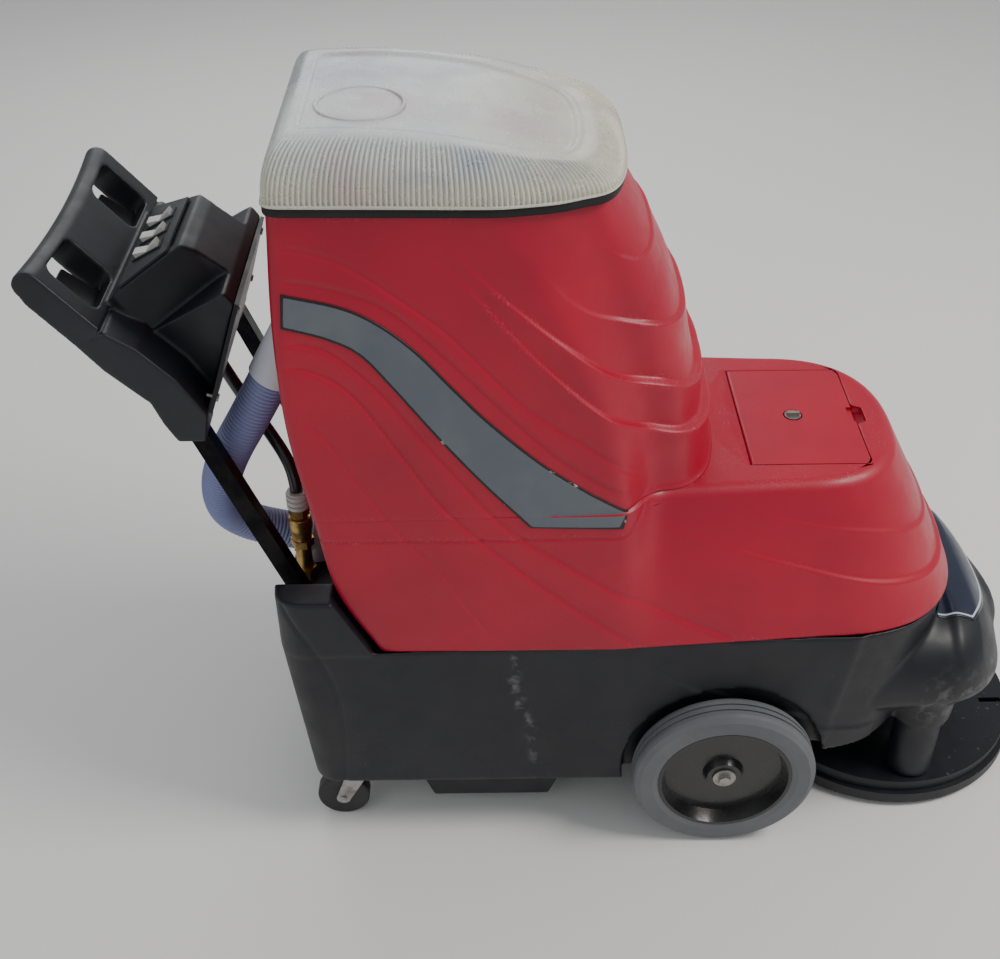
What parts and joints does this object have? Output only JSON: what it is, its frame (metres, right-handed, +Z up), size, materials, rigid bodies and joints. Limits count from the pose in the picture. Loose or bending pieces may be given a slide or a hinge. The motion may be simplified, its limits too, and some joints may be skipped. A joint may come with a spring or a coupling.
{
  "type": "walk-behind floor scrubber",
  "caption": "Walk-behind floor scrubber: black wheeled base, red stacked tanks with clear ribbed dome, round cleaning head, moulded handle with switches and hoses.",
  "frame": {"origin": "on the floor, in the middle of the machine's length and width", "axes": "+X forward, towards the cleaning head; +Y to the machine's left; +Z up"},
  "size_m": [1.3401, 0.537, 1.02],
  "materials": {
    "red_shell": "satin moulded polyethylene",
    "base_black": "satin moulded plastic with fine scratches",
    "clear_dome": "clear ribbed plastic, slightly yellowed",
    "gasket": "matte rubber",
    "tyre": "grey rubber",
    "hub": "glossy black",
    "zinc": "zinc plated",
    "steel": "machined steel",
    "caster": "dark rubber",
    "handle": "textured moulded plastic",
    "tube": "semi gloss black paint",
    "switch_white": "glossy white",
    "panel": "matte black",
    "vac_hose": "corrugated hose, blue grey",
    "cuff": "pale grey moulded plastic",
    "sol_hose": "smooth black hose",
    "fitting": "white moulded plastic",
    "brass": "tarnished brass",
    "skirt": "rubber skirt",
    "bristle": "nylon bristle",
    "motor": "black painted motor",
    "belt": "belt rubber",
    "strainer": "white moulded plastic"
  },
  "bodies": {
    "machine": {"base_housing": "base_black", "belly_pan": "base_black", "solution_tank": "red_shell", "recovery_tank": "red_shell", "hatch_pin": "steel", "fill_strainer": "strainer", "lid_gasket": "gasket", "standpipe": "cuff", "float_cage": "cuff", "head_cover": "base_black", "splash_skirt": "skirt", "spindle_housing": "steel", "spindle_bearings": "steel", "drive_belt": "belt", "drive_motor": "motor", "motor_mount": "steel", "vacuum_motor": "motor", "solution_pump": "motor", "vacuum_hose": "vac_hose", "upper_hose_cuff": "cuff", "lower_hose_cuff": "cuff", "solution_hose": "sol_hose", "brass_nipple": "brass", "brass_coupler": "brass", "hose_fitting": "fitting", "cable_gland": "panel", "main_axle": "steel", "axle_bolts": "zinc", "caster_mounts": "zinc", "handle_tubes": "tube", "handle_shell": "handle", "handle_cover": "handle", "cover_screws": "zinc", "switch_panel": "panel", "trigger_pin": "steel"},
    "lid": {"recovery_lid": "clear_dome"},
    "hatch": {"deck_hatch": "red_shell"},
    "knob": {"hatch_knob": "zinc"},
    "float": {"float_ball": "switch_white"},
    "rotor": {"spindle": "steel", "rotor_plate": "motor", "rotor_brushes": "bristle", "driven_pulley": "steel"},
    "motor_rotor": {"motor_pulley": "steel", "motor_shaft": "steel"},
    "fan": {"vacuum_fan": "steel"},
    "left_wheel": {"left_hub": "hub", "left_tyre": "tyre"},
    "right_wheel": {"right_hub": "hub", "right_tyre": "tyre"},
    "left_swivel": {"left_caster_fork": "zinc"},
    "right_swivel": {"right_caster_fork": "zinc"},
    "left_roller": {"left_caster_wheel": "caster"},
    "right_roller": {"right_caster_wheel": "caster"},
    "switch_left": {"left_rocker": "switch_white"},
    "switch_middle": {"middle_rocker": "switch_white"},
    "switch_right": {"right_rocker": "switch_white"},
    "trigger_left": {"left_trigger": "panel"},
    "trigger_right": {"right_trigger": "panel"},
    "sleeve": {"coupling_sleeve": "brass"}
  },
  "joints": [
    {"name": "lid_lift", "type": "slide", "parent": "machine", "child": "lid", "axis": [0, 0, 1], "range_m": [0, 0.25]},
    {"name": "hatch_hinge", "type": "hinge", "parent": "machine", "child": "hatch", "pos_m": [0.2, 0, 0.556], "axis": [0, -1, 0], "range_deg": [0, 95]},
    {"name": "knob_turn", "type": "hinge", "parent": "hatch", "child": "knob", "pos_m": [0.27, 0, 0.556], "axis": [0, 0, 1], "range_deg": [0, 90]},
    {"name": "float_rise", "type": "slide", "parent": "machine", "child": "float", "axis": [0, 0, 1], "range_m": [0, 0.012]},
    {"name": "head_spin", "type": "hinge", "parent": "machine", "child": "rotor", "pos_m": [0.46, 0, 0.1], "axis": [0, 0, 1], "continuous": true},
    {"name": "motor_spin", "type": "hinge", "parent": "machine", "child": "motor_rotor", "pos_m": [0.35, 0, 0.2], "axis": [0, 0, 1], "continuous": true},
    {"name": "fan_spin", "type": "hinge", "parent": "machine", "child": "fan", "pos_m": [-0.1, 0, 0.29], "axis": [0, 0, 1], "continuous": true},
    {"name": "left_wheel_spin", "type": "hinge", "parent": "machine", "child": "left_wheel", "pos_m": [0.18, 0.246, 0.127], "axis": [0, 1, 0], "continuous": true},
    {"name": "right_wheel_spin", "type": "hinge", "parent": "machine", "child": "right_wheel", "pos_m": [0.18, -0.246, 0.127], "axis": [0, 1, 0], "continuous": true},
    {"name": "left_caster_swivel", "type": "hinge", "parent": "machine", "child": "left_swivel", "pos_m": [-0.336, 0.196, 0.09], "axis": [0, 0, 1], "continuous": true},
    {"name": "left_caster_roll", "type": "hinge", "parent": "left_swivel", "child": "left_roller", "pos_m": [-0.361, 0.196, 0.0375], "axis": [0, 1, 0], "continuous": true},
    {"name": "right_caster_swivel", "type": "hinge", "parent": "machine", "child": "right_swivel", "pos_m": [-0.336, -0.196, 0.09], "axis": [0, 0, 1], "continuous": true},
    {"name": "right_caster_roll", "type": "hinge", "parent": "right_swivel", "child": "right_roller", "pos_m": [-0.361, -0.196, 0.0375], "axis": [0, 1, 0], "continuous": true},
    {"name": "left_rocker_tilt", "type": "hinge", "parent": "machine", "child": "switch_left", "pos_m": [-0.54615, 0.042, 0.83628], "axis": [0, 1, 0], "range_deg": [-7, 7]},
    {"name": "middle_rocker_tilt", "type": "hinge", "parent": "machine", "child": "switch_middle", "pos_m": [-0.54615, 0, 0.83628], "axis": [0, 1, 0], "range_deg": [-7, 7]},
    {"name": "right_rocker_tilt", "type": "hinge", "parent": "machine", "child": "switch_right", "pos_m": [-0.54615, -0.042, 0.83628], "axis": [0, 1, 0], "range_deg": [-7, 7]},
    {"name": "left_trigger_squeeze", "type": "hinge", "parent": "machine", "child": "trigger_left", "pos_m": [-0.60822, 0.104, 0.79301], "axis": [0, 1, 0], "range_deg": [0, 12], "stiffness_Nm_per_rad": 1.2, "springref_deg": -8.59},
    {"name": "right_trigger_squeeze", "type": "hinge", "parent": "machine", "child": "trigger_right", "pos_m": [-0.60822, -0.104, 0.79301], "axis": [0, 1, 0], "range_deg": [0, 12], "stiffness_Nm_per_rad": 1.2, "springref_deg": -8.59},
    {"name": "sleeve_slide", "type": "slide", "parent": "machine", "child": "sleeve", "axis": [0, 0, 1], "range_m": [0, 0.003], "stiffness_N_per_m": 800, "springref_m": -0.001}
  ],
  "couplings": [
    {"joint": "motor_spin", "follows": "head_spin", "ratio": 3}
  ]
}
